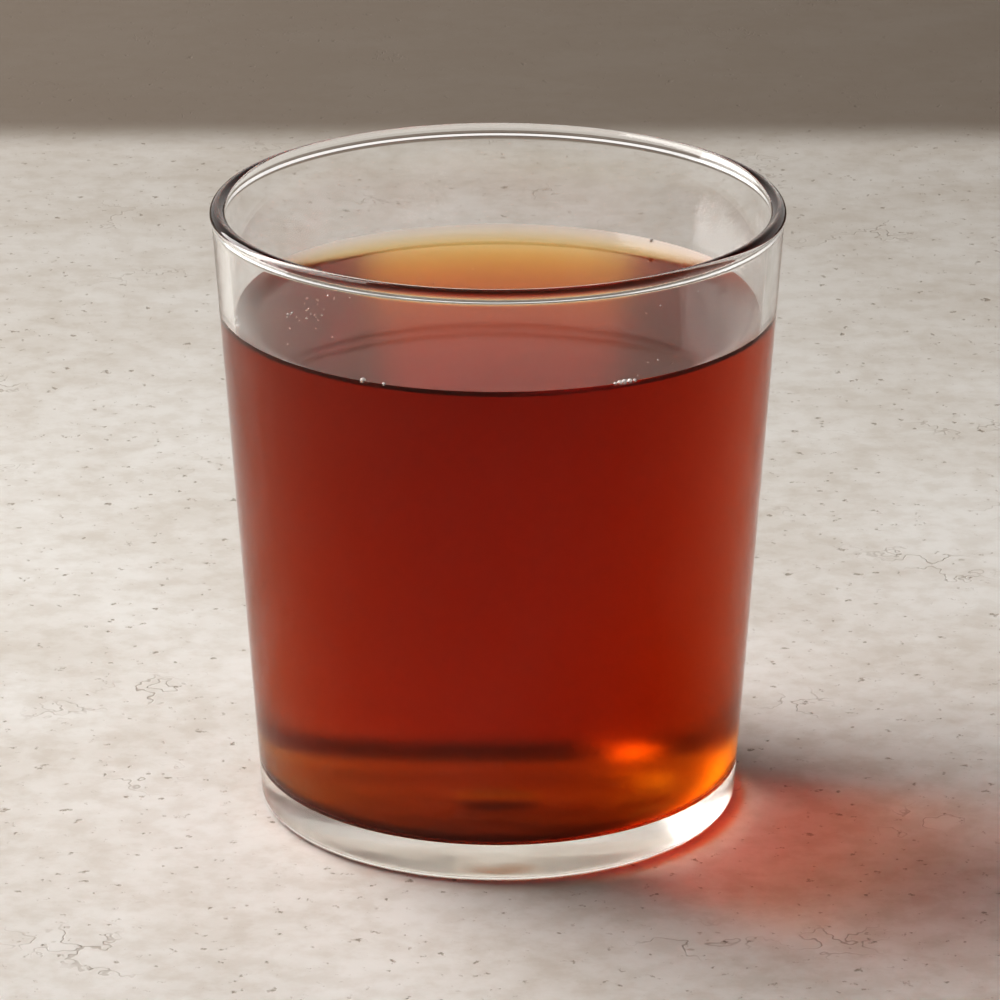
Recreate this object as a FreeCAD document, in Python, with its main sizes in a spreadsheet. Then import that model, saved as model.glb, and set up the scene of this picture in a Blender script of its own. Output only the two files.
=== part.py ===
"""A plain clear glass tumbler of tea: the tumbler and the tea that fills it.

Both pieces are turned about the Z axis. The tumbler stands on the XY plane, so
the origin is the middle of its underside. Lengths are in millimetres.
"""

import FreeCAD, Part
import math
import os

import Sketcher

SHEET = "Sizes"

# Every size that can be chosen by itself. The tea has no size of its own where it meets the glass.
SIZES = [
    ("rim_diameter", 85.0, "across the outside of the rounded rim"),
    ("glass_height", 93.6, "table to the top of the rim"),
    ("base_diameter", 72.0, "across the outer wall where it would meet the table"),
    ("wall_at_rim", 1.9, "wall thickness just under the rim"),
    ("wall_at_base", 2.4, "wall thickness at the foot"),
    ("bead_thickness", 2.3, "diameter of the fire-polished bead along the rim"),
    ("bead_blend_radius", 2.0, "hollow that runs the bead into the wall, both sides"),
    ("heel_radius", 1.8, "rounding between the wall and the underside"),
    ("foot_width", 1.6, "flat ring that touches the table"),
    ("punt_rise", 0.9, "height of the hollow underside at the mould mark's edge"),
    ("mark_diameter", 10.0, "round mould mark in the middle of the underside"),
    ("mark_depth", 0.3, "how far the mould mark rises above its edge"),
    ("base_thickness", 5.2, "table to the flat floor inside the tumbler"),
    ("corner_radius", 3.0, "rounding between the floor and the inner wall"),
    ("tea_level", 76.3, "table to the flat surface of the tea"),
    ("meniscus_rise", 1.7, "how far the tea creeps up the wall above its surface"),
    ("meniscus_radius", 3.0, "curve of the tea's surface beside the wall"),
]

# Parts of a line or an arc that a constraint can hold.
START, END, CENTRE = 1, 2, 3

# The sketch's own axes, as constraints name them.
TABLE_LINE = -1
TURNING_AXIS = -2

FULL_TURN = 360.0
RIGHT_ANGLE = math.pi / 2

# Places on the two faces of the wall that fix its lean, as expressions on the sheet.
BEAD_CENTRE_RADIUS = "{s}.rim_diameter / 2 - {s}.bead_thickness / 2".format(s=SHEET)
BEAD_CENTRE_HEIGHT = "{s}.glass_height - {s}.bead_thickness / 2".format(s=SHEET)
OUTER_WALL_FOOT = "{s}.base_diameter / 2".format(s=SHEET)
OUTER_WALL_TOP = BEAD_CENTRE_RADIUS + " + {s}.wall_at_rim / 2".format(s=SHEET)
INNER_WALL_FOOT = OUTER_WALL_FOOT + " - {s}.wall_at_base".format(s=SHEET)
INNER_WALL_TOP = BEAD_CENTRE_RADIUS + " - {s}.wall_at_rim / 2".format(s=SHEET)


def make_sheet(doc):
    """Write the sizes into a spreadsheet and return them as a dictionary too."""
    sheet = doc.addObject("Spreadsheet::Sheet", SHEET)
    for row, (alias, value, meaning) in enumerate(SIZES, start=1):
        sheet.set("A{}".format(row), alias)
        sheet.set("B{}".format(row), str(value))
        sheet.set("C{}".format(row), meaning)
        sheet.setAlias("B{}".format(row), alias)
    doc.recompute()
    return {alias: float(sheet.get(alias)) for alias, _, _ in SIZES}


class HalfSection:
    """A sketch in the XZ plane of its body: X is the radius and Y is the height.

    Shapes are first drawn roughly in place. The constraints, bound to the sheet, then give
    them their true sizes.
    """

    def __init__(self, body, name):
        self.sketch = body.newObject("Sketcher::SketchObject", name)
        plane = next(f for f in body.Origin.OriginFeatures if f.Role == "XZ_Plane")
        self.sketch.AttachmentSupport = [(plane, "")]
        self.sketch.MapMode = "FlatFace"

    def line(self, start, end):
        """Draw a line between two (radius, height) places and return its number."""
        return self.sketch.addGeometry(Part.LineSegment(vector(start), vector(end)), False)

    def arc(self, centre, radius, first_angle, last_angle):
        """Draw an arc that runs anticlockwise from one angle to another and return its number."""
        circle = Part.Circle(vector(centre), FreeCAD.Vector(0, 0, 1), radius)
        return self.sketch.addGeometry(Part.ArcOfCircle(circle, first_angle, last_angle), False)

    def guide_point(self, radius_rule, height_rule, rough, name):
        """Add a construction point at a place that the sheet gives and return its number."""
        point = self.sketch.addGeometry(Part.Point(vector(rough)), True)
        self.place(point, START, radius_rule, height_rule, name)
        return point

    def hold(self, *constraint):
        """Add a constraint that needs no size."""
        self.sketch.addConstraint(Sketcher.Constraint(*constraint))

    def size(self, name, rule, *constraint):
        """Add a constraint with a size, and bind the size to an expression on the sheet."""
        number = self.sketch.addConstraint(Sketcher.Constraint(*constraint))
        self.sketch.renameConstraint(number, name)
        self.sketch.setExpression(".Constraints." + name, rule)

    def radius(self, arc, alias, name):
        """Give an arc its radius from the sheet."""
        rough = self.sketch.Geometry[arc].Radius
        self.size(name, rule_for(alias), "Radius", arc, rough)

    def at_radius(self, shape, end, rule, name):
        """Hold a point at a distance from the turning axis."""
        rough = self.sketch.getPoint(shape, end).x
        self.size(name, rule, "DistanceX", TABLE_LINE, START, shape, end, rough)

    def at_height(self, shape, end, rule, name):
        """Hold a point at a height above the table."""
        rough = self.sketch.getPoint(shape, end).y
        self.size(name, rule, "DistanceY", TABLE_LINE, START, shape, end, rough)

    def place(self, shape, end, radius_rule, height_rule, name):
        """Hold a point at a radius and a height, where a height of None is the table."""
        self.at_radius(shape, end, radius_rule, name + "_radius")
        if height_rule is None:
            self.hold("PointOnObject", shape, end, TABLE_LINE)
        else:
            self.at_height(shape, end, height_rule, name + "_height")

    def on_axis(self, shape, end):
        """Keep a point on the turning axis."""
        self.hold("PointOnObject", shape, end, TURNING_AXIS)

    def join(self, first, first_end, second, second_end):
        """Join two ends."""
        self.hold("Coincident", first, first_end, second, second_end)

    def blend(self, first, first_end, second, second_end):
        """Join two ends so that one runs smoothly into the other."""
        self.hold("Tangent", first, first_end, second, second_end)

    def lean_on(self, wall, foot, top):
        """Keep a wall's line on its two guide points."""
        self.hold("PointOnObject", foot, START, wall)
        self.hold("PointOnObject", top, START, wall)


def vector(place):
    """A (radius, height) place as a vector of the sketch."""
    return FreeCAD.Vector(place[0], place[1], 0)


def rule_for(*aliases):
    """The sum of some of the sheet's sizes, as an expression."""
    return " + ".join("{}.{}".format(SHEET, alias) for alias in aliases)


def new_body(doc, label):
    """An empty body whose label names its node."""
    body = doc.addObject("PartDesign::Body", "Body_" + label)
    body.Label = label
    body.Placement = FreeCAD.Placement()
    return body


def turn(body, section):
    """Turn a half section once round the Z axis."""
    solid = body.newObject("PartDesign::Revolution", "Turned_" + body.Label)
    solid.Profile = section.sketch
    solid.ReferenceAxis = (section.sketch, ["V_Axis"])
    solid.Angle = FULL_TURN
    section.sketch.Visibility = False
    return solid


def inner_wall_guides(section, size):
    """The two points that fix the inner wall's lean, which the glass and the tea share."""
    bead_radius = size["bead_thickness"] / 2
    foot_rough = (size["base_diameter"] / 2 - size["wall_at_base"], 0)
    top_rough = (size["rim_diameter"] / 2 - bead_radius - size["wall_at_rim"] / 2,
                 size["glass_height"] - bead_radius)
    foot = section.guide_point(INNER_WALL_FOOT, None, foot_rough, "inner_foot")
    top = section.guide_point(INNER_WALL_TOP, BEAD_CENTRE_HEIGHT, top_rough, "inner_top")
    return foot, top


def make_glass(doc, size):
    """The tumbler: hollow underside, foot ring, heel, leaning wall, rim bead and cavity."""
    body = new_body(doc, "glass")
    section = HalfSection(body, "GlassSection")

    outer_foot = size["base_diameter"] / 2
    outer_top = size["rim_diameter"] / 2
    heel = size["heel_radius"]
    foot_edge = outer_foot - heel
    foot_inside = foot_edge - size["foot_width"]
    mark_edge = size["mark_diameter"] / 2
    punt = size["punt_rise"]
    mark_top = punt + size["mark_depth"]
    floor = size["base_thickness"]
    corner = size["corner_radius"]
    bead = size["bead_thickness"] / 2
    hollow = size["bead_blend_radius"]
    half_wall = size["wall_at_rim"] / 2
    bead_place = (outer_top - bead, size["glass_height"] - bead)
    inner_foot = outer_foot - size["wall_at_base"]
    inner_top = bead_place[0] - half_wall

    # Each hollow touches the bead on the line between their two centres.
    hollow_drop = math.sqrt((bead + hollow) ** 2 - (half_wall + hollow) ** 2)
    hollow_tilt = math.atan2(hollow_drop, half_wall + hollow)
    hollow_height = bead_place[1] - hollow_drop

    # Domes whose centres lie on the turning axis, from their half width and their rise.
    mark_dome = dome_radius(mark_edge, size["mark_depth"])
    punt_dome = dome_radius(foot_inside, punt)
    mark = section.arc((0, mark_top - mark_dome), mark_dome,
                       math.acos(mark_edge / mark_dome), RIGHT_ANGLE)
    underside = section.arc((0, punt - punt_dome), punt_dome,
                            math.acos(foot_inside / punt_dome), math.acos(mark_edge / punt_dome))
    foot = section.line((foot_inside, 0), (foot_edge, 0))
    heel_arc = section.arc((foot_edge, heel), heel, -RIGHT_ANGLE, 0)
    outer_wall = section.line((outer_foot, heel), (bead_place[0] + half_wall, hollow_height))
    outer_hollow = section.arc((bead_place[0] + half_wall + hollow, hollow_height), hollow,
                               math.pi - hollow_tilt, math.pi)
    outer_rim = section.arc(bead_place, bead, -hollow_tilt, RIGHT_ANGLE)
    inner_rim = section.arc(bead_place, bead, RIGHT_ANGLE, math.pi + hollow_tilt)
    inner_hollow = section.arc((inner_top - hollow, hollow_height), hollow, 0, hollow_tilt)
    inner_wall = section.line((inner_top, hollow_height), (inner_foot, floor + corner))
    corner_arc = section.arc((inner_foot - corner, floor + corner), corner, -RIGHT_ANGLE, 0)
    floor_line = section.line((inner_foot - corner, floor), (0, floor))
    middle = section.line((0, floor), (0, mark_top))

    section.on_axis(mark, CENTRE)
    section.on_axis(mark, END)
    section.at_height(mark, END, rule_for("punt_rise", "mark_depth"), "mark_top")
    section.place(mark, START, rule_for("mark_diameter") + " / 2", rule_for("punt_rise"), "mark_edge")
    section.join(mark, START, underside, END)
    section.on_axis(underside, CENTRE)
    section.join(underside, START, foot, START)
    section.hold("PointOnObject", foot, START, TABLE_LINE)
    section.hold("PointOnObject", foot, END, TABLE_LINE)
    section.size("foot_width", rule_for("foot_width"), "DistanceX", foot, START, foot, END,
                 size["foot_width"])
    section.blend(foot, END, heel_arc, START)
    section.radius(heel_arc, "heel_radius", "heel_radius")
    section.blend(heel_arc, END, outer_wall, START)

    section.blend(outer_wall, END, outer_hollow, END)
    section.radius(outer_hollow, "bead_blend_radius", "outer_hollow_radius")
    section.blend(outer_hollow, START, outer_rim, START)
    section.place(outer_rim, CENTRE, BEAD_CENTRE_RADIUS, BEAD_CENTRE_HEIGHT, "bead_centre")
    section.size("bead_radius", rule_for("bead_thickness") + " / 2", "Radius", outer_rim, bead)
    section.hold("Vertical", outer_rim, CENTRE, outer_rim, END)
    section.join(outer_rim, CENTRE, inner_rim, CENTRE)
    section.join(outer_rim, END, inner_rim, START)
    section.blend(inner_rim, END, inner_hollow, END)
    section.radius(inner_hollow, "bead_blend_radius", "inner_hollow_radius")
    section.blend(inner_hollow, START, inner_wall, START)

    section.blend(inner_wall, END, corner_arc, END)
    section.radius(corner_arc, "corner_radius", "corner_radius")
    section.blend(corner_arc, START, floor_line, START)
    section.hold("Horizontal", floor_line)
    section.on_axis(floor_line, END)
    section.at_height(floor_line, END, rule_for("base_thickness"), "base_thickness")
    section.join(floor_line, END, middle, START)
    section.join(middle, END, mark, END)

    outer_foot_guide = section.guide_point(OUTER_WALL_FOOT, None, (outer_foot, 0), "outer_foot")
    outer_top_guide = section.guide_point(
        OUTER_WALL_TOP, BEAD_CENTRE_HEIGHT, (bead_place[0] + half_wall, bead_place[1]), "outer_top")
    section.lean_on(outer_wall, outer_foot_guide, outer_top_guide)
    section.lean_on(inner_wall, *inner_wall_guides(section, size))

    turn(body, section)
    return body


def make_tea(doc, size):
    """The tea: it fills the cavity up to its level and creeps up the wall in a meniscus."""
    body = new_body(doc, "tea")
    section = HalfSection(body, "TeaSection")

    floor = size["base_thickness"]
    corner = size["corner_radius"]
    level = size["tea_level"]
    edge_height = level + size["meniscus_rise"]
    curve = size["meniscus_radius"]
    inner_foot = size["base_diameter"] / 2 - size["wall_at_base"]
    inner_top = (size["rim_diameter"] - size["bead_thickness"] - size["wall_at_rim"]) / 2
    lean = (inner_top - inner_foot) / (size["glass_height"] - size["bead_thickness"] / 2)
    edge_radius = inner_foot + lean * edge_height
    edge_angle = math.asin((size["meniscus_rise"] - curve) / curve)
    curve_centre = edge_radius - curve * math.cos(edge_angle)

    floor_line = section.line((0, floor), (inner_foot - corner, floor))
    corner_arc = section.arc((inner_foot - corner, floor + corner), corner, -RIGHT_ANGLE, 0)
    side = section.line((inner_foot, floor + corner), (edge_radius, edge_height))
    meniscus = section.arc((curve_centre, level + curve), curve, -RIGHT_ANGLE, edge_angle)
    surface = section.line((curve_centre, level), (0, level))
    middle = section.line((0, level), (0, floor))

    section.on_axis(floor_line, START)
    section.at_height(floor_line, START, rule_for("base_thickness"), "base_thickness")
    section.hold("Horizontal", floor_line)
    section.blend(floor_line, END, corner_arc, START)
    section.radius(corner_arc, "corner_radius", "corner_radius")
    section.blend(corner_arc, END, side, START)
    section.lean_on(side, *inner_wall_guides(section, size))
    section.at_height(side, END, rule_for("tea_level", "meniscus_rise"), "meniscus_edge")
    section.join(side, END, meniscus, END)
    section.radius(meniscus, "meniscus_radius", "meniscus_radius")
    section.blend(meniscus, START, surface, START)
    section.hold("Horizontal", surface)
    section.on_axis(surface, END)
    section.at_height(surface, END, rule_for("tea_level"), "tea_level")
    section.join(surface, END, middle, START)
    section.join(middle, END, floor_line, START)

    turn(body, section)
    return body


def dome_radius(half_width, rise):
    """Radius of the sphere whose cap has this half width and rise."""
    return (half_width ** 2 + rise ** 2) / (2 * rise)


def check(doc, bodies):
    """Stop if any object failed to compute, or a piece is empty or broken."""
    for item in doc.Objects:
        if {"Invalid", "Error"} & set(item.State):
            raise RuntimeError("{} did not compute: {}".format(item.Label, item.State))
    for body in bodies:
        if body.Shape.isNull() or not body.Shape.isValid() or len(body.Shape.Solids) != 1:
            raise RuntimeError("{} is not one sound solid".format(body.Label))
        print("{}: {:.1f} cm3".format(body.Label, body.Shape.Volume / 1000))


def main():
    """Build the tumbler and its tea, and write each as a STEP file."""
    doc = FreeCAD.newDocument("GlassOfTea")
    size = make_sheet(doc)
    bodies = [make_glass(doc, size), make_tea(doc, size)]
    doc.recompute()
    check(doc, bodies)
    os.makedirs("parts", exist_ok=True)
    for body in bodies:
        body.Shape.exportStep("parts/{}.step".format(body.Label))


main()
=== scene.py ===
# %% [markdown]
# # A glass of tea
# A clear tumbler, a drink that fills it, a few bubbles: three things that are hard to fake and easy
# to build as they are. Light bends through the wall, loses its blue and green in the tea and comes
# out red. So every surface here is a real surface at its real place, and the renderer does the rest.

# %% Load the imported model
import bpy
import math
import random

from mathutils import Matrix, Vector


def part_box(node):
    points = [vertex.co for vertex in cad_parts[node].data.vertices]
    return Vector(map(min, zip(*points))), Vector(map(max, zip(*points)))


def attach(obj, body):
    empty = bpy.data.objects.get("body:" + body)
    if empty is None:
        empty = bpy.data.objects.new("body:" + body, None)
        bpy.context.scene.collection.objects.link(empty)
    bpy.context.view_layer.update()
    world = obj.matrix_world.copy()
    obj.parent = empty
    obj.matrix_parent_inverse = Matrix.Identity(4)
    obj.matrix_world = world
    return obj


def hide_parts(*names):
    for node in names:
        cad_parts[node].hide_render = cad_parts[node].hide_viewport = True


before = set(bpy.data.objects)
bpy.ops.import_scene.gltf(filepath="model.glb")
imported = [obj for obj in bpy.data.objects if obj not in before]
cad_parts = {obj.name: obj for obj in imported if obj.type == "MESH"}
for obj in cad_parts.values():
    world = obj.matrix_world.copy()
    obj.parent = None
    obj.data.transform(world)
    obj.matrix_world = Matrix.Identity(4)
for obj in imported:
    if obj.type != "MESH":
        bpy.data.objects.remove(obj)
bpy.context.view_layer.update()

# %% [markdown]
# ## Sizes
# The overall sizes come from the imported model, so the visible pieces always agree with it. The small
# sizes of the section, such as the wall and the roundings, can't be read off a box. They are the
# maker's own numbers, in metres, and the same as in the construction. Only the tea's edge curves more
# broadly here, up to the same height, because a tight curve draws too thick a dark line.

# %% Sizes of the tumbler and the tea
MM = 0.001

_, glass_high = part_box("glass")
tea_low, tea_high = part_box("tea")

RIM_RADIUS = glass_high.x
GLASS_HEIGHT = glass_high.z
FLOOR_HEIGHT = tea_low.z
TEA_EDGE_HEIGHT = tea_high.z

FOOT_RADIUS = 36.0 * MM
WALL_AT_RIM = 1.9 * MM
WALL_AT_BASE = 2.4 * MM
BEAD_RADIUS = 1.15 * MM
BEAD_HOLLOW = 2.0 * MM
HEEL_RADIUS = 1.8 * MM
FOOT_WIDTH = 1.6 * MM
PUNT_RISE = 0.9 * MM
MARK_RADIUS = 5.0 * MM
MARK_DEPTH = 0.3 * MM
CORNER_RADIUS = 3.0 * MM
MENISCUS_RISE = 1.7 * MM
MENISCUS_RADIUS = 5.0 * MM

TEA_LEVEL = TEA_EDGE_HEIGHT - MENISCUS_RISE
BEAD_CENTRE = Vector((RIM_RADIUS - BEAD_RADIUS, GLASS_HEIGHT - BEAD_RADIUS))

# Each wall is a straight leaning line, known by its radius at the table and its lean.
OUTER_LEAN = (BEAD_CENTRE.x + WALL_AT_RIM / 2 - FOOT_RADIUS) / BEAD_CENTRE.y
INNER_FOOT = FOOT_RADIUS - WALL_AT_BASE
INNER_LEAN = (BEAD_CENTRE.x - WALL_AT_RIM / 2 - INNER_FOOT) / BEAD_CENTRE.y

print(f"Tumbler {2 * RIM_RADIUS / MM:.1f} mm across and {GLASS_HEIGHT / MM:.1f} mm high")
print(f"Tea from {FLOOR_HEIGHT / MM:.1f} mm to {TEA_LEVEL / MM:.1f} mm, "
      f"creeping up to {TEA_EDGE_HEIGHT / MM:.1f} mm")

# %% [markdown]
# ## Turning an outline
# Glass is blown or pressed in a round mould, so both big pieces are turned shapes. In Blender a
# turned shape is an outline spun round an axis. The outline is drawn the way a draughtsman would,
# with a pen that makes straight runs and arcs. A straight run is one extrusion of the last point. An
# arc is a small spin of the last point. One big spin of the whole outline then makes the surface.
#
# Glass shows every fault in its shading. On a smooth surface, the last bit of an arc tilts the
# shading of the straight face beside it. Two extra points, one close to each end of a run, keep that
# tilt to a strip too thin to see.

# %% A pen that draws a half section
TURN_STEPS = 256
SUPPORT = 0.2 * MM
SHORTEST_SUPPORTED = 3 * SUPPORT
JOIN_DISTANCE = 0.002 * MM
SHARPEST_SMOOTH = math.radians(35)


class Pen:
    """Draws a half section in the XZ plane, point by point, as an edit-mode outline."""

    def __init__(self, name, radius, height):
        bpy.ops.object.select_all(action="DESELECT")
        bpy.ops.mesh.primitive_plane_add(size=MM, location=(radius, 0, height))
        self.piece = bpy.context.object
        self.piece.name = name
        self.piece.data.name = name
        bpy.ops.object.transform_apply(location=True, rotation=True, scale=True)
        bpy.ops.object.mode_set(mode="EDIT")
        bpy.ops.mesh.select_all(action="SELECT")
        bpy.ops.mesh.merge(type="CENTER")
        self.at = Vector((radius, height))

    def point(self, place):
        """Extrude the last point to a new place."""
        step = place - self.at
        bpy.ops.mesh.extrude_vertices_move(
            TRANSFORM_OT_translate={"value": (step.x, 0, step.y)})
        self.at = place.copy()

    def run_to(self, radius, height):
        """Make a straight run, with a supporting point near each end where there is room."""
        start, end = self.at.copy(), Vector((radius, height))
        length = (end - start).length
        if length > SHORTEST_SUPPORTED:
            self.point(start.lerp(end, SUPPORT / length))
            self.point(end.lerp(start, SUPPORT / length))
        self.point(end)

    def swing(self, centre, angle, steps):
        """Make an arc about a centre. A positive angle runs anticlockwise, as the radius grows right."""
        bpy.ops.mesh.spin(steps=steps, angle=angle, center=(centre.x, 0, centre.y), axis=(0, 1, 0))
        arm = self.at - centre
        turned = (arm.x * math.cos(angle) - arm.y * math.sin(angle),
                  arm.x * math.sin(angle) + arm.y * math.cos(angle))
        self.at = centre + Vector(turned)

    def turn(self):
        """Spin the outline once round the Z axis and close it into one smooth skin."""
        bpy.ops.mesh.select_all(action="SELECT")
        bpy.ops.mesh.spin(steps=TURN_STEPS, angle=2 * math.pi, center=(0, 0, 0), axis=(0, 0, 1))
        bpy.ops.mesh.select_all(action="SELECT")
        bpy.ops.mesh.remove_doubles(threshold=JOIN_DISTANCE)
        bpy.ops.mesh.normals_make_consistent(inside=False)
        bpy.ops.object.mode_set(mode="OBJECT")
        bpy.ops.object.shade_smooth_by_angle(angle=SHARPEST_SMOOTH)
        print(f"{self.piece.name}: {len(self.piece.data.polygons)} faces")
        return self.piece


# %% [markdown]
# ## Where arcs meet lines
# Three little pieces of geometry place the arcs. The first rounds a corner between two straight
# runs. The second finds the hollow that runs the thick rim bead into the thinner wall: its circle
# touches the wall's line on one side and the bead's circle on the other. The third finds the middle
# of a shallow dome, such as the hollow underside, from two points that the dome passes through.

# %% Corner roundings, the hollow under the bead and shallow domes
def rounding(before, corner, after, radius):
    """Where a rounding starts, its centre and how far it swings, between two straight runs."""
    back = (before - corner).normalized()
    ahead = (after - corner).normalized()
    half = back.angle(ahead) / 2
    start = corner + back * radius / math.tan(half)
    centre = corner + (back + ahead).normalized() * radius / math.sin(half)
    side = back.x * ahead.y - back.y * ahead.x
    swing = math.pi - 2 * half
    return start, centre, swing if side < 0 else -swing


def bead_hollow(foot_radius, lean, side):
    """Centre of the hollow beside a wall's line, and where it meets the wall and the bead.

    The side is 1 outside the wall and -1 inside it.
    """
    along = Vector((lean, 1)).normalized()
    across = Vector((1, -lean)).normalized() * side
    base = Vector((foot_radius, 0)) + across * BEAD_HOLLOW - BEAD_CENTRE
    reach = BEAD_RADIUS + BEAD_HOLLOW
    middle = base.dot(along)
    height = -middle - math.sqrt(middle ** 2 - base.length_squared + reach ** 2)
    centre = BEAD_CENTRE + base + along * height
    return centre, centre - across * BEAD_HOLLOW, centre.lerp(BEAD_CENTRE, BEAD_HOLLOW / reach)


def dome_centre(upper, lower):
    """Centre, on the axis, of the dome that passes through two points of the section."""
    height = (upper.length_squared - lower.length_squared) / (2 * (upper.y - lower.y))
    return Vector((0, height))


def turn_between(centre, start, end):
    """Signed angle from one arm to another, between a half turn each way."""
    first, last = start - centre, end - centre
    angle = math.atan2(last.y, last.x) - math.atan2(first.y, first.x)
    return (angle + math.pi) % (2 * math.pi) - math.pi


# %% [markdown]
# ## The tumbler
# A pressed tumbler is thick at the foot and thin at the lip. Its lip was melted smooth in a flame,
# which gathers the glass in a small bead. Its underside is hollow, so that it stands on a narrow
# ring, with a round mark in the middle from the mould. All of it matters: the base works as a lens,
# and each of these forms draws its own light and dark line in it.
#
# Bevelling a turned cylinder would give the roundings but not the bead, so the section is drawn in
# full and turned once. The pen starts under the middle of the base, goes out along the underside, up
# the outside, over the bead and down the cavity to the middle of its floor.

# %% Draw and turn the tumbler
ARC_STEPS = 12
DOME_STEPS = 24


def inner_wall(height):
    """Radius of the cavity's straight wall at a height."""
    return INNER_FOOT + INNER_LEAN * height


def make_tumbler():
    heel_start, heel_centre, heel_swing = rounding(
        Vector((0, 0)), Vector((FOOT_RADIUS, 0)),
        Vector((FOOT_RADIUS + OUTER_LEAN * GLASS_HEIGHT, GLASS_HEIGHT)), HEEL_RADIUS)
    outer_hollow, outer_wall_top, bead_outside = bead_hollow(FOOT_RADIUS, OUTER_LEAN, 1)
    inner_hollow, inner_wall_top, bead_inside = bead_hollow(INNER_FOOT, INNER_LEAN, -1)
    bead_top = BEAD_CENTRE + Vector((0, BEAD_RADIUS))
    corner_start, corner_centre, corner_swing = rounding(
        inner_wall_top, Vector((inner_wall(FLOOR_HEIGHT), FLOOR_HEIGHT)),
        Vector((0, FLOOR_HEIGHT)), CORNER_RADIUS)

    mark_top = Vector((0, PUNT_RISE + MARK_DEPTH))
    mark_edge = Vector((MARK_RADIUS, PUNT_RISE))
    foot_edge = Vector((heel_start.x - FOOT_WIDTH, 0))
    mark_centre = dome_centre(mark_top, mark_edge)
    punt_centre = dome_centre(mark_edge, foot_edge)

    pen = Pen("tumbler", mark_top.x, mark_top.y)
    pen.swing(mark_centre, turn_between(mark_centre, pen.at, mark_edge), ARC_STEPS)
    pen.swing(punt_centre, turn_between(punt_centre, pen.at, foot_edge), DOME_STEPS)
    pen.run_to(heel_start.x, heel_start.y)
    pen.swing(heel_centre, heel_swing, ARC_STEPS)
    pen.run_to(outer_wall_top.x, outer_wall_top.y)
    pen.swing(outer_hollow, turn_between(outer_hollow, pen.at, bead_outside), ARC_STEPS)
    pen.swing(BEAD_CENTRE, turn_between(BEAD_CENTRE, pen.at, bead_top), ARC_STEPS)
    pen.swing(BEAD_CENTRE, turn_between(BEAD_CENTRE, pen.at, bead_inside), ARC_STEPS)
    pen.swing(inner_hollow, turn_between(inner_hollow, pen.at, inner_wall_top), ARC_STEPS)
    pen.run_to(inner_wall(TEA_EDGE_HEIGHT), TEA_EDGE_HEIGHT)
    pen.run_to(corner_start.x, corner_start.y)
    pen.swing(corner_centre, corner_swing, ARC_STEPS)
    pen.run_to(0, FLOOR_HEIGHT)
    return pen.turn()


tumbler = make_tumbler()

# %% [markdown]
# ## The tea
# The tea takes its shape from the cavity. Two coats of surface lying exactly on each other would
# fight, and a gap would show as a silvery skin of air, so the tea reaches a very little way into the
# wall and the floor. Its top is flat, with an edge that creeps up the glass in a smooth curve.

# %% Draw and turn the tea
REACH = 0.04 * MM


def make_tea():
    floor = FLOOR_HEIGHT - REACH
    edge = Vector((inner_wall(TEA_EDGE_HEIGHT), TEA_EDGE_HEIGHT))
    edge_angle = math.asin((MENISCUS_RISE - MENISCUS_RADIUS) / MENISCUS_RADIUS)
    curve_foot = Vector((edge.x - MENISCUS_RADIUS * math.cos(edge_angle), TEA_LEVEL))
    curve_centre = curve_foot + Vector((0, MENISCUS_RADIUS))
    corner_start, corner_centre, corner_swing = rounding(
        Vector((0, floor)), Vector((inner_wall(floor) + REACH, floor)),
        Vector((edge.x + REACH, edge.y)), CORNER_RADIUS)

    pen = Pen("tea_drink", 0, floor)
    pen.run_to(corner_start.x, corner_start.y)
    pen.swing(corner_centre, corner_swing, ARC_STEPS)
    pen.run_to(edge.x + REACH, edge.y)
    pen.point(edge)
    pen.swing(curve_centre, turn_between(curve_centre, edge, curve_foot), ARC_STEPS)
    pen.run_to(0, TEA_LEVEL)
    return pen.turn()


tea = make_tea()

# %% [markdown]
# ## Bubbles
# Pouring leaves a few bubbles. Most burst, and the last ones are drawn to the wall, where the tea
# climbs up to them. Each is a tiny dome of tea round air that catches the light as one bright dot.
# At a fraction of a millimetre, a ball that is half sunk gives the same dot, so the bubbles are
# plain balls, joined into one piece. Those along the wall are placed one by one, by their angle seen
# from above, with 0 in front and 90 on the right. The tiny ones that float are strewn: most of them
# in one patch, the rest anywhere.

# %% Sizes and places of the bubbles, in millimetres and degrees
random.seed(7)

# Each bubble at the wall is its angle and its radius.
WALL_BUBBLES = ((-29.0, 0.42), (-27.4, 0.12), (-24.0, 0.28),
                (24.8, 0.26), (25.9, 0.36), (27.0, 0.40), (28.2, 0.36), (29.3, 0.28),
                (-80.0, 0.30), (-75.0, 0.32), (-50.0, 0.15), (143.0, 0.30))
WALL_BUBBLE_DROP = 0.1
WALL_BUBBLE_GAP = 0.02

FLOATING_COUNT = 30
FLOATING_PATCH = Vector((-28.0, 4.0))
FLOATING_SPREAD = Vector((6.0, 14.0))
FLOATING_REACH = 35
FLOATING_RADII = (0.08, 0.2)

STRAY_COUNT = 24
STRAY_REACH = 34
STRAY_RADII = (0.07, 0.15)

print(f"{len(WALL_BUBBLES)} bubbles at the wall, up to {FLOATING_COUNT} in the patch "
      f"and {STRAY_COUNT} strays")


# %% Make the bubbles
def place_bubble(bubbles, radius, place):
    """Add one ball at a place, both in metres."""
    bpy.ops.object.select_all(action="DESELECT")
    bpy.ops.mesh.primitive_ico_sphere_add(subdivisions=3, radius=radius, location=place)
    bpy.ops.object.transform_apply(location=True, rotation=True, scale=True)
    bubbles.append(bpy.context.object)


def line_the_wall(bubbles):
    height = TEA_EDGE_HEIGHT - WALL_BUBBLE_DROP * MM
    for angle, millimetres in WALL_BUBBLES:
        radius = millimetres * MM
        reach = inner_wall(height) - radius - WALL_BUBBLE_GAP * MM
        turn = math.radians(angle)
        place_bubble(bubbles, radius, (reach * math.sin(turn), -reach * math.cos(turn), height))


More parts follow.
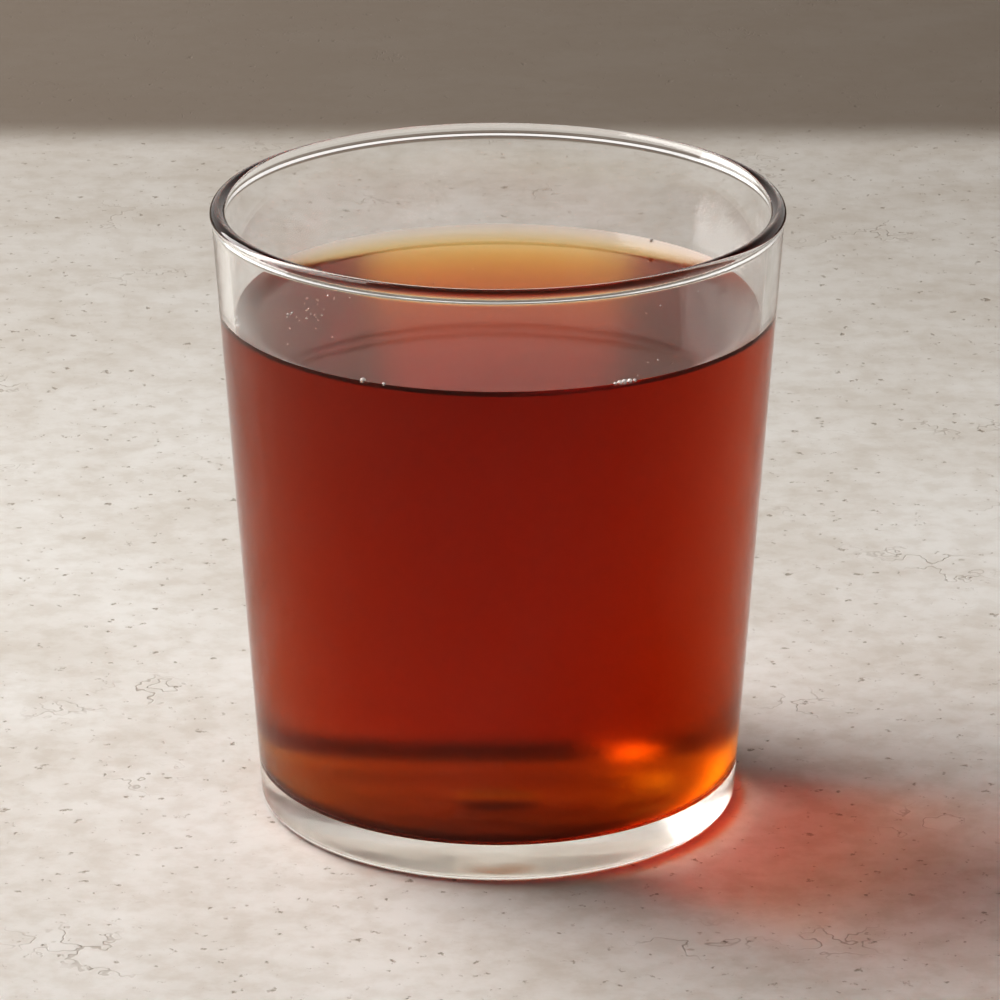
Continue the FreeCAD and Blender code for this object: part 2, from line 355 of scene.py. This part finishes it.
def strew_the_patch(bubbles):
    for _ in range(FLOATING_COUNT):
        x = random.gauss(FLOATING_PATCH.x, FLOATING_SPREAD.x / 2)
        y = random.gauss(FLOATING_PATCH.y, FLOATING_SPREAD.y / 2)
        if math.hypot(x, y) < FLOATING_REACH:
            place_bubble(bubbles, random.uniform(*FLOATING_RADII) * MM, (x * MM, y * MM, TEA_LEVEL))


def strew_the_strays(bubbles):
    for _ in range(STRAY_COUNT):
        turn = random.uniform(0, 2 * math.pi)
        reach = STRAY_REACH * math.sqrt(random.random())
        place_bubble(bubbles, random.uniform(*STRAY_RADII) * MM,
                     (reach * math.cos(turn) * MM, reach * math.sin(turn) * MM, TEA_LEVEL))


def make_bubbles():
    bubbles = []
    line_the_wall(bubbles)
    strew_the_patch(bubbles)
    strew_the_strays(bubbles)
    bpy.ops.object.select_all(action="DESELECT")
    for bubble in bubbles:
        bubble.select_set(True)
    bpy.context.view_layer.objects.active = bubbles[0]
    bpy.ops.object.join()
    piece = bpy.context.object
    piece.name = "tea_bubbles"
    piece.data.name = "tea_bubbles"
    bpy.ops.object.shade_smooth()
    print(f"{piece.name}: {len(bubbles)} bubbles, {len(piece.data.polygons)} faces")
    return piece


bubbles = make_bubbles()

# %% [markdown]
# ## Riding
# The glass and the tea are rigid here, so every piece rides on the one body. The turned tumbler and
# the turned tea stand in for the plain imported shapes.

# %% Tie the pieces to the model
PIECES = ((tumbler, "clear_glass", "glass"), (tea, "tea", "tea"), (bubbles, "tea", None))

for piece, slot, node in PIECES:
    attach(piece, "root")
    if node:
        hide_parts(node)
    print(f"{piece.name} rides on the root, in slot {slot}")

# %% [markdown]
# ## Writing materials as sums
# A material is a chain of small nodes. Written as Python expressions it is easier to read than as a
# drawing of wires. A `Strand` is one output of a node. Adding or comparing strands adds the Math node
# that does it, so `1 - mask` is a node too. `Finish` is one material, or the light of the room, and
# its `node` method adds any other node.

# %% Strands
class Strand:
    """One output of a node. Sums on strands add Math nodes."""

    def __init__(self, finish, socket):
        self.finish = finish
        self.socket = socket

    def maths(self, operation, first, second=0.0):
        return self.finish.node("ShaderNodeMath", {"operation": operation}, {0: first, 1: second})

    def __add__(self, other):
        return self.maths("ADD", self, other)

    def __radd__(self, other):
        return self.maths("ADD", other, self)

    def __sub__(self, other):
        return self.maths("SUBTRACT", self, other)

    def __rsub__(self, other):
        return self.maths("SUBTRACT", other, self)

    def __mul__(self, other):
        return self.maths("MULTIPLY", self, other)

    def __rmul__(self, other):
        return self.maths("MULTIPLY", other, self)

    def __pow__(self, other):
        return self.maths("POWER", self, other)

    def __lt__(self, other):
        return self.maths("LESS_THAN", self, other)

    def __gt__(self, other):
        return self.maths("GREATER_THAN", self, other)

    def __abs__(self):
        return self.maths("ABSOLUTE", self)

    def larger(self, other):
        return self.maths("MAXIMUM", self, other)


# %% Finishes
class Finish:
    """One material, or the room's light, and its nodes."""

    def __init__(self, owner, output="ShaderNodeOutputMaterial"):
        self.owner = owner
        self.owner.use_nodes = True
        self.tree = self.owner.node_tree
        self.tree.nodes.clear()
        self.output = output

    def node(self, kind, settings, sockets, out=0):
        """Add a node, make its settings, then fill its sockets, and return one of its outputs."""
        node = self.tree.nodes.new(kind)
        for name, value in settings.items():
            if name == "stops":
                self.set_stops(node.color_ramp, value)
            else:
                setattr(node, name, value)
        for name, value in sockets.items():
            if isinstance(value, Strand):
                self.tree.links.new(value.socket, node.inputs[name])
            else:
                node.inputs[name].default_value = value
        return Strand(self, node.outputs[out]) if node.outputs else None

    @staticmethod
    def set_stops(ramp, stops):
        """Give a ramp its positions and colours. A new ramp has two stops."""
        for element, (position, colour) in zip(ramp.elements, stops):
            element.position = position
            element.color = colour

    def blend(self, factor, first, second):
        """Mix two colours."""
        return self.node("ShaderNodeMix", {"data_type": "RGBA"}, {0: factor, 6: first, 7: second},
                         out=2)

    def place(self, kind="Object"):
        """Where a point lies on the object, or for the room's light the way one looks."""
        return self.node("ShaderNodeTexCoord", {}, {}, out=kind)

    def split(self, place):
        """A place's three coordinates."""
        first = self.node("ShaderNodeSeparateXYZ", {}, {0: place})
        return [Strand(self, socket) for socket in first.socket.node.outputs]

    def noise(self, place, scale, detail=2.0, roughness=0.5):
        return self.node("ShaderNodeTexNoise", {}, {"Vector": place, "Scale": scale, "Detail": detail,
                                                    "Roughness": roughness})

    def fade(self, value, low, high):
        """0 below low, 1 above high and a smooth change between."""
        return self.node("ShaderNodeMapRange", {"interpolation_type": "SMOOTHSTEP"},
                         {"Value": value, "From Min": low, "From Max": high})

    def bump(self, height, distance):
        return self.node("ShaderNodeBump", {}, {"Height": height, "Distance": distance})

    def principled(self, sockets):
        return self.node("ShaderNodeBsdfPrincipled", {}, sockets)

    def show(self, **shaders):
        """Wire the finished shaders to the output: Surface, and Volume where there is one."""
        self.node(self.output, {}, shaders)
        print(f"{self.owner.name}: {len(self.tree.nodes)} nodes")
        return self.owner


# %% [markdown]
# ## Clear glass, dry and wet
# Soda-lime glass bends light by 1.52 against air. Where tea wets it, light only steps from 1.52 to
# 1.333. The ratio, 1.14, is all that it bends there, and the face hardly mirrors. With the dry value
# everywhere, the wet wall would mirror ten times too much and veil the tea in grey.
#
# Pressed glass is never quite flat, so a slow, shallow bump lets its highlights wander. It follows the
# way the plunger moved, so its waves are drawn out upwards. Fingers leave a faint film, seen only as a
# slight change in gloss. Three parts differ from this dry glass. The wet wall is rough, but light bends
# so little there that this only softens what is seen through it. The wet floor is smooth, which keeps
# the clear base crisp. The underside isn't polished like the walls: it keeps the grain and the small
# waves of the mould, which spread the light that the thick base gathers into a soft glow.

# %% Make the four glass finishes
GLASS_BEND = 1.52
TEA_BEND = 1.333
WET_BEND = GLASS_BEND / TEA_BEND
GLASS_TINT = (0.985, 0.992, 0.988, 1)
CLEAR_TINT = (1, 1, 1, 1)
UPWARD_STRETCH = (1, 1, 0.35)
FINGER_FILM = 0.012


def make_glass(name, bend, grain, wave_scale=40, wave_height=0.05 * MM):
    finish = Finish(bpy.data.materials.new(name))
    place = finish.place()
    drawn_up = finish.node("ShaderNodeMapping", {}, {"Vector": place, "Scale": UPWARD_STRETCH})
    film = finish.fade(finish.noise(place, scale=45, detail=4), low=0.5, high=0.75)
    waves = finish.noise(drawn_up, scale=wave_scale, detail=1)
    return finish.show(Surface=finish.principled({
        "Base Color": finish.blend(film, CLEAR_TINT, GLASS_TINT),
        "Roughness": grain + FINGER_FILM * film,
        "IOR": bend,
        "Transmission Weight": 1.0,
        "Normal": finish.bump(waves, wave_height)}))


GLASS_FINISHES = (
    make_glass("clear_glass", GLASS_BEND, grain=0.0),
    make_glass("wet_wall", WET_BEND, grain=0.35),
    make_glass("wet_floor", WET_BEND, grain=0.0),
    make_glass("moulded_glass", GLASS_BEND, grain=0.14, wave_scale=90, wave_height=0.16 * MM))

for material in GLASS_FINISHES:
    tumbler.data.materials.append(material)

# %% [markdown]
# The wet faces are those of the cavity, under the tea's edge. The moulded ones are those of the
# hollow underside. Both are chosen by place.

# %% Give the wet faces and the underside their finishes
DRY, WET_WALL, WET_FLOOR, MOULDED = range(len(GLASS_FINISHES))


def glass_finish_at(radius, height):
    """Which finish a face of the tumbler has, by its distance from the axis and its height."""
    in_cavity = radius < inner_wall(height) + WALL_AT_RIM / 4 and height > FLOOR_HEIGHT - SUPPORT
    if in_cavity and height < TEA_EDGE_HEIGHT:
        return WET_FLOOR if height < FLOOR_HEIGHT + SUPPORT else WET_WALL
    if radius < FOOT_RADIUS - HEEL_RADIUS - FOOT_WIDTH / 2 and height < FLOOR_HEIGHT / 2:
        return MOULDED
    return DRY


finish_counts = [0] * len(GLASS_FINISHES)
for face in tumbler.data.polygons:
    face.material_index = glass_finish_at(face.center.xy.length, face.center.z)
    finish_counts[face.material_index] += 1
print(f"{finish_counts[DRY]} dry faces, {finish_counts[WET_WALL]} of the wet wall, "
      f"{finish_counts[WET_FLOOR]} of the wet floor and {finish_counts[MOULDED]} moulded")

# %% [markdown]
# ## Tea
# Brewed black tea is clear. It takes its colour from its depth: a few millimetres are gold, two
# centimetres are orange and a whole glassful is deep red-brown, because blue is taken out first and
# red last. A volume that absorbs does just that, and no painted colour could. Density times one less
# each colour gives what is lost for each metre.
#
# Real tea isn't perfectly clear either. Fine dust and a thin film of tannin float on it and throw back
# a little warm light, so a small share of the open surface is matt, and the rest is not quite sharp.
#
# Inside the wall, the tea's skin only marks where the colour starts. The wet glass has bent the light
# there already, so the tea's skin bends nothing. Its open surface bends light as water does. The two
# are told apart by place: the skin lies beyond the wall's line or well under the level.

# %% Make the tea
TEA_DENSITY = 200.0
TEA_COLOUR = (0.941, 0.76, 0.15, 1)
FILM_TINT = (0.97, 0.93, 0.9, 1)
HAZE_COLOUR = (0.90, 0.26, 0.07, 1)
HAZE_PALE = (0.95, 0.40, 0.18, 1)
HAZE_SHARE = 0.08
SURFACE_DEPTH = 0.5 * MM
RIPPLE_HEIGHT = 0.01 * MM


def make_tea_finish():
    finish = Finish(bpy.data.materials.new("black_tea"))
    place = finish.place()
    x, y, height = finish.split(place)
    beyond_wall = (x * x + y * y) ** 0.5 - INNER_LEAN * height - INNER_FOOT > REACH / 2
    in_the_wall = beyond_wall.larger(height < TEA_LEVEL - SURFACE_DEPTH)
    ripples = finish.noise(place, scale=60, detail=1)
    film = finish.fade(finish.noise(place, scale=90, detail=3), low=0.55, high=0.8)
    open_surface = finish.principled({
        "Base Color": finish.blend(film, CLEAR_TINT, FILM_TINT),
        "Roughness": 0.06 + 0.03 * film,
        "IOR": TEA_BEND,
        "Transmission Weight": 1.0,
        "Normal": finish.bump(ripples, RIPPLE_HEIGHT)})
    dust = finish.principled({
        "Base Color": finish.blend(film, HAZE_COLOUR, HAZE_PALE), "Roughness": 0.6})
    surface = finish.node("ShaderNodeMixShader", {}, {0: HAZE_SHARE, 1: open_surface, 2: dust})
    skin = finish.principled({
        "Base Color": CLEAR_TINT, "Roughness": 0.0, "IOR": 1.0, "Transmission Weight": 1.0})
    return finish.show(
        Surface=finish.node("ShaderNodeMixShader", {}, {0: in_the_wall, 1: surface, 2: skin}),
        Volume=finish.node("ShaderNodeVolumeAbsorption", {},
                           {"Color": TEA_COLOUR, "Density": TEA_DENSITY}))


tea.data.materials.append(make_tea_finish())

# %% [markdown]
# A bubble's film is far too thin to take any colour. It shows by its glints, from within and without,
# which close together look pale. So the balls' pale, warm colour is a painted glint, and they are
# shiny and only a little clear.

# %% Make the bubbles' film
PAINTED_GLINT_WARM = (1, 0.96, 0.92, 1)


def make_film():
    finish = Finish(bpy.data.materials.new("bubble_film"))
    film = finish.noise(finish.place(), scale=900)
    return finish.show(Surface=finish.principled({
        # Painted glint: the pale, warm base colour stands for the bubbles' glints.
        "Base Color": finish.blend(film, PAINTED_GLINT_WARM, CLEAR_TINT),
        "Roughness": 0.05 + 0.1 * film,
        "IOR": TEA_BEND,
        "Transmission Weight": 0.15}))


bubbles.data.materials.append(make_film())

# %% [markdown]
# ## The table
# The tumbler stands on pale honed stone. Clear things have no look of their own, so the table matters
# more than usual: it is what shows through the glass and what the glass mirrors. Its clouds, small
# pits and few curling threads are kept faint. Painted shade darkens it towards its far edge, and
# beyond that the room's floor is darker still, which draws the fine dark lines in the rim.

# %% Make the stone table
STONE_PALE = (0.87, 0.85, 0.82, 1)
STONE_WARM = (0.71, 0.665, 0.61, 1)
STONE_PIT = (0.30, 0.24, 0.19, 1)
ROOM_FLOOR_AND_SHADE = (0.29, 0.25, 0.215, 1)
# Where the painted shade on the stone starts, and how much it darkens the stone towards its far edge.
PAINTED_SHADE_START = 0.05
PAINTED_SHADE_SHARE = 0.43
TABLE_END = 0.35
TABLE_FADE = 0.012
FLOOR_RADIUS = 3
STONE_RELIEF = 0.15 * MM


def make_stone():
    finish = Finish(bpy.data.materials.new("honed_stone"))
    place = finish.place()
    _, depth, _ = finish.split(place)
    clouds = finish.fade(finish.noise(place, scale=30, detail=8, roughness=0.65), low=0.35, high=0.68)
    grain = finish.noise(place, scale=260, detail=3)
    mottle = finish.fade(finish.noise(place, scale=180, detail=6, roughness=0.6), low=0.4, high=0.65)
    specks = finish.fade(finish.noise(place, scale=420, detail=4, roughness=0.6), low=0.62, high=0.72)
    from_thread = abs(finish.noise(place, scale=90, detail=3, roughness=0.6) - 0.5)
    threads = 1 - finish.fade(from_thread, low=0.002, high=0.012)
    patches = finish.fade(finish.noise(place, scale=45, detail=3), low=0.56, high=0.68)
    pits = 0.6 * specks + 0.45 * threads * patches
    stone = finish.blend(0.55 * clouds + 0.35 * mottle, STONE_PALE, STONE_WARM)
    stone = finish.blend(pits, stone, STONE_PIT)
    # Painted shade: the stone is blended towards the room floor's colour as it goes back.
    painted_far_shade = PAINTED_SHADE_SHARE * finish.fade(depth, low=PAINTED_SHADE_START, high=TABLE_END)
    stone = finish.blend(painted_far_shade, stone, ROOM_FLOOR_AND_SHADE)
    away = finish.fade(depth, low=TABLE_END - TABLE_FADE, high=TABLE_END + TABLE_FADE)
    return finish.show(Surface=finish.principled({
        "Base Color": finish.blend(away, stone, ROOM_FLOOR_AND_SHADE),
        "Roughness": 0.6 + 0.2 * clouds,
        "Specular IOR Level": 0.2,
        "Normal": finish.bump(0.3 * grain - pits, STONE_RELIEF)}))


def make_table():
    bpy.ops.object.select_all(action="DESELECT")
    bpy.ops.mesh.primitive_circle_add(vertices=128, radius=FLOOR_RADIUS, fill_type="NGON")
    table = bpy.context.object
    table.name = "table"
    table.data.materials.append(make_stone())


make_table()

# %% [markdown]
# ## Camera
# A long lens from a little under a metre keeps the tumbler's sides nearly parallel. It looks down by
# about twenty degrees, so that the tea's surface shows above its front edge.

# %% Set up the camera
LOOK_DOWN = 20.2
CAMERA_DISTANCE = 0.85
AIM = Vector((0.3 * MM, 0, 46.9 * MM))
SENSOR = 36.0
LENS = 203.8
NEAREST_SEEN = 0.01


def aim_at(thing, place, target):
    thing.location = place
    thing.rotation_euler = (target - place).to_track_quat("-Z", "Y").to_euler()


def add_to_scene(name, data):
    thing = bpy.data.objects.new(name, data)
    bpy.context.scene.collection.objects.link(thing)
    return thing


def around(azimuth, elevation, distance):
    """A place seen from the tumbler: azimuth 0 is right, 90 is behind it, 180 is left."""
    turn, rise = math.radians(azimuth), math.radians(elevation)
    flat = distance * math.cos(rise)
    return Vector((flat * math.cos(turn), flat * math.sin(turn), distance * math.sin(rise)))


camera = add_to_scene("camera", bpy.data.cameras.new("camera"))
camera.data.sensor_width = SENSOR
camera.data.lens = LENS
camera.data.clip_start = NEAREST_SEEN
aim_at(camera, AIM + around(azimuth=-90, elevation=LOOK_DOWN, distance=CAMERA_DISTANCE), AIM)
bpy.context.scene.camera = camera
print(f"Camera {camera.location.length:.2f} m away")

# %% [markdown]
# ## Light
# One window, high on the left and a little behind, is the main light. It sends the shadow to the
# right, and the tea focuses it into a red glow beside the foot. A broad, weak light from the left
# front lifts the shadow.

# %% Set up the window and the fill
DAYLIGHT = (1, 0.985, 0.965)
LIT_SPOT = Vector((0, 0, 0.04))


def add_softbox(name, place, width, height, power):
    light = bpy.data.lights.new(name, "AREA")
    light.shape = "RECTANGLE"
    light.size = width
    light.size_y = height
    light.energy = power
    light.color = DAYLIGHT
    aim_at(add_to_scene(name, light), place, LIT_SPOT)
    print(f"{name}: {width} m by {height} m, {power} W")


add_softbox("window", around(azimuth=152, elevation=38, distance=1.5), width=1.25, height=1.55, power=18.8)
add_softbox("fill", around(azimuth=215, elevation=42, distance=1.3), width=1.0, height=0.8, power=0.8)

# %% [markdown]
# The rest of the room is pale round about and dim overhead. Pale walls keep the glass's edges light,
# because it is near the horizon that a clear edge gathers its light from. The side that the camera
# stands on is dimmer than the side behind the tumbler. Directions are given by their upward and their
# backward share, from -1 to 1.

# %% Light the room
WALLS = (0.62, 0.607, 0.592, 1)
CEILING = (0.05, 0.05, 0.05, 1)
WALL_TOP = 0.3
CEILING_EDGE = 0.6
DIM_UP_TO = -0.4
BRIGHT_FROM = 0.6
DIM_SHARE = 0.6


def make_room_light():
    finish = Finish(bpy.data.worlds.new("room"), "ShaderNodeOutputWorld")
    _, backward, upward = finish.split(finish.place("Generated"))
    shade = finish.node("ShaderNodeValToRGB",
                        {"stops": ((WALL_TOP, WALLS), (CEILING_EDGE, CEILING))}, {0: upward})
    strength = finish.node("ShaderNodeMapRange", {}, {
        "Value": backward, "From Min": DIM_UP_TO, "From Max": BRIGHT_FROM, "To Min": DIM_SHARE})
    return finish.show(Surface=finish.node("ShaderNodeBackground", {},
                                           {"Color": shade, "Strength": strength}))


bpy.context.scene.world = make_room_light()

# %% [markdown]
# Inside thick glass, light turns many times before it gets out. Where it is given up too early, black
# lines are left in the rim and black wedges in the base, so many turns are allowed. The renderer also
# likes to blur light that glass has focused, which would wipe out the red glow, so that is off.

# %% Let light through thick glass
MOST_TURNS = 32
MOST_MIRRORINGS = 24

scene = bpy.context.scene
scene.cycles.blur_glossy = 0.0
scene.cycles.max_bounces = MOST_TURNS
scene.cycles.glossy_bounces = MOST_MIRRORINGS
scene.cycles.transmission_bounces = MOST_TURNS
scene.view_settings.view_transform = "Standard"
scene.view_settings.look = "Very High Contrast"
print(f"Light may turn {MOST_TURNS} times, and {scene.view_settings.look} is the look")
